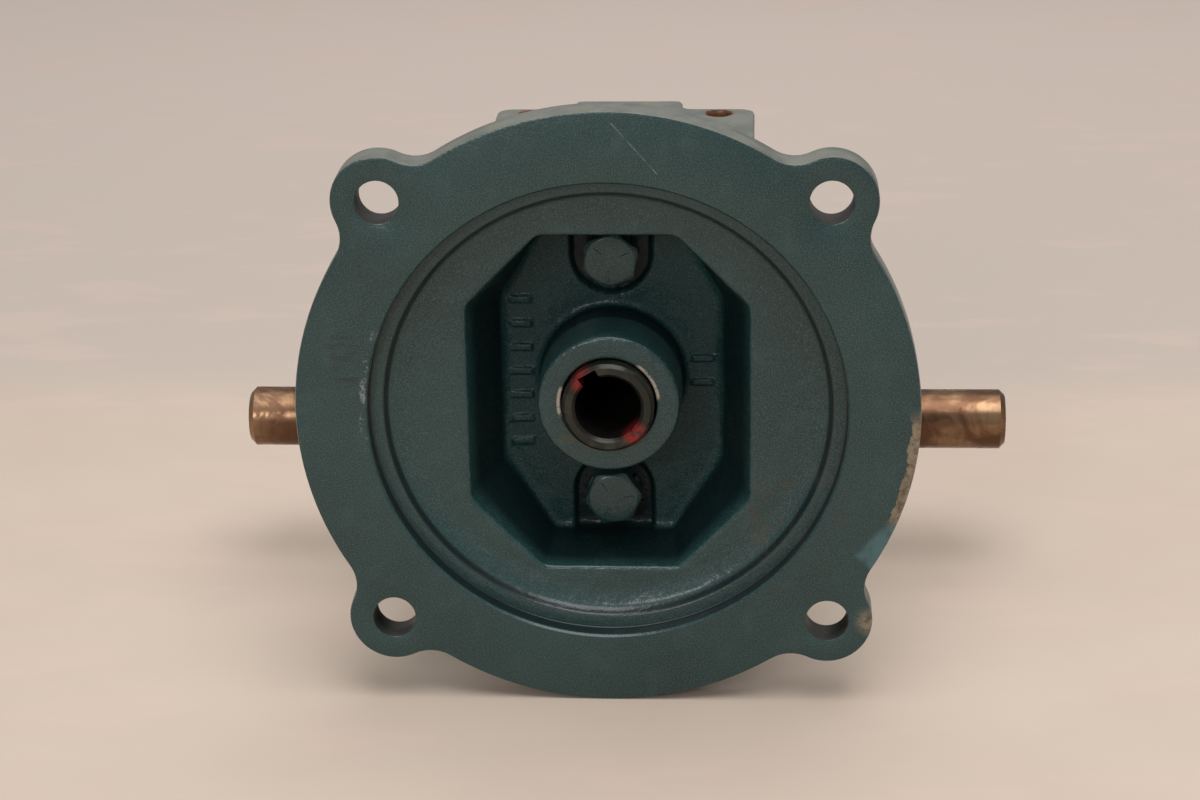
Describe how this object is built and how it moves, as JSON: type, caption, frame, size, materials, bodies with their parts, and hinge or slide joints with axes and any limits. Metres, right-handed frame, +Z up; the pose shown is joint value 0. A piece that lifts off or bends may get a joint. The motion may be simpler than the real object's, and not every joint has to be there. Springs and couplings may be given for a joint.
{
  "type": "worm gearbox",
  "caption": "Right-angle worm reducer with a C-face motor flange, hollow keyed input and a double-ended output shaft.",
  "frame": {"origin": "centre of the motor bolt circle in the plane of the flange's front face, on the worm axis", "axes": "+Y along the worm axis from the motor into the gearbox, +X along the output shaft to the right as seen from the motor, +Z up"},
  "size_m": [0.2032, 0.1376, 0.149],
  "materials": {
    "housing_paint": "dark teal enamel over sand-cast iron, fine orange peel, dusty on top",
    "flange_paint": "dark teal enamel, machined flat face, chipped at the lower right rim",
    "bolt_paint": "dark teal enamel over zinc steel",
    "gasket_paper": "oiled brown gasket paper",
    "seal_rubber": "satin nitrile",
    "spring_wire": "bright spring wire",
    "quill_steel": "ground steel with rust staining",
    "shaft_steel": "ground steel with a thin brown rust film",
    "bearing_steel": "polished",
    "cage_brass": "satin",
    "ring_steel": "black oxide",
    "screw_steel": "dull zinc",
    "wheel_bronze": "hobbed bronze",
    "hub_iron": "machined grey iron",
    "plate_aluminium": "satin, blank"
  },
  "bodies": {
    "housing": {"gear_housing": "housing_paint", "motor_flange": "flange_paint", "flange_gasket": "gasket_paper", "flange_bolts": "bolt_paint", "flange_lock_washers": "bolt_paint", "input_oil_seal": "seal_rubber", "input_seal_spring": "spring_wire", "front_bearing_outer": "bearing_steel", "rear_bearing_outer": "bearing_steel", "end_cap": "housing_paint", "end_cap_gasket": "gasket_paper", "end_cap_screws": "screw_steel", "bearing_shims": "ring_steel", "left_bearing_outer": "bearing_steel", "right_bearing_outer": "bearing_steel", "left_cover": "housing_paint", "right_cover": "housing_paint", "left_cover_gasket": "gasket_paper", "right_cover_gasket": "gasket_paper", "cover_screws": "screw_steel", "left_oil_seal": "seal_rubber", "right_oil_seal": "seal_rubber", "output_seal_springs": "spring_wire", "fill_plug": "screw_steel", "vent_plug": "screw_steel", "level_plug": "screw_steel", "drain_plug": "screw_steel", "nameplate": "plate_aluminium", "nameplate_pins": "plate_aluminium"},
    "worm": {"worm_shaft": "quill_steel", "front_retaining_ring": "ring_steel", "rear_retaining_ring": "ring_steel", "front_bearing_inner": "bearing_steel", "rear_bearing_inner": "bearing_steel"},
    "wheel": {"output_shaft": "shaft_steel", "wheel_rim": "wheel_bronze", "wheel_hub": "hub_iron", "wheel_key": "shaft_steel", "wheel_spacer": "shaft_steel", "left_bearing_inner": "bearing_steel", "right_bearing_inner": "bearing_steel"},
    "front_balls": {"front_bearing_balls": "bearing_steel", "front_bearing_cage": "cage_brass"},
    "rear_balls": {"rear_bearing_balls": "bearing_steel", "rear_bearing_cage": "cage_brass"},
    "left_balls": {"left_bearing_balls": "bearing_steel", "left_bearing_cage": "cage_brass"},
    "right_balls": {"right_bearing_balls": "bearing_steel", "right_bearing_cage": "cage_brass"}
  },
  "joints": [
    {"name": "output_spin", "type": "hinge", "parent": "housing", "child": "wheel", "pos_m": [0, 0.0889, -0.03378], "axis": [1, 0, 0], "continuous": true},
    {"name": "input_spin", "type": "hinge", "parent": "housing", "child": "worm", "pos_m": [0, 0, 0], "axis": [0, 1, 0], "continuous": true},
    {"name": "front_cage_spin", "type": "hinge", "parent": "housing", "child": "front_balls", "pos_m": [0, 0.0464, 0], "axis": [0, 1, 0], "continuous": true},
    {"name": "rear_cage_spin", "type": "hinge", "parent": "housing", "child": "rear_balls", "pos_m": [0, 0.12, 0], "axis": [0, 1, 0], "continuous": true},
    {"name": "left_cage_spin", "type": "hinge", "parent": "housing", "child": "left_balls", "pos_m": [-0.026, 0.0889, -0.03378], "axis": [1, 0, 0], "continuous": true},
    {"name": "right_cage_spin", "type": "hinge", "parent": "housing", "child": "right_balls", "pos_m": [0.026, 0.0889, -0.03378], "axis": [1, 0, 0], "continuous": true}
  ],
  "couplings": [
    {"joint": "input_spin", "follows": "output_spin", "ratio": 15},
    {"joint": "front_cage_spin", "follows": "output_spin", "ratio": 6.1771},
    {"joint": "rear_cage_spin", "follows": "output_spin", "ratio": 5.7245},
    {"joint": "left_cage_spin", "follows": "output_spin", "ratio": 0.3816},
    {"joint": "right_cage_spin", "follows": "output_spin", "ratio": 0.3816}
  ]
}
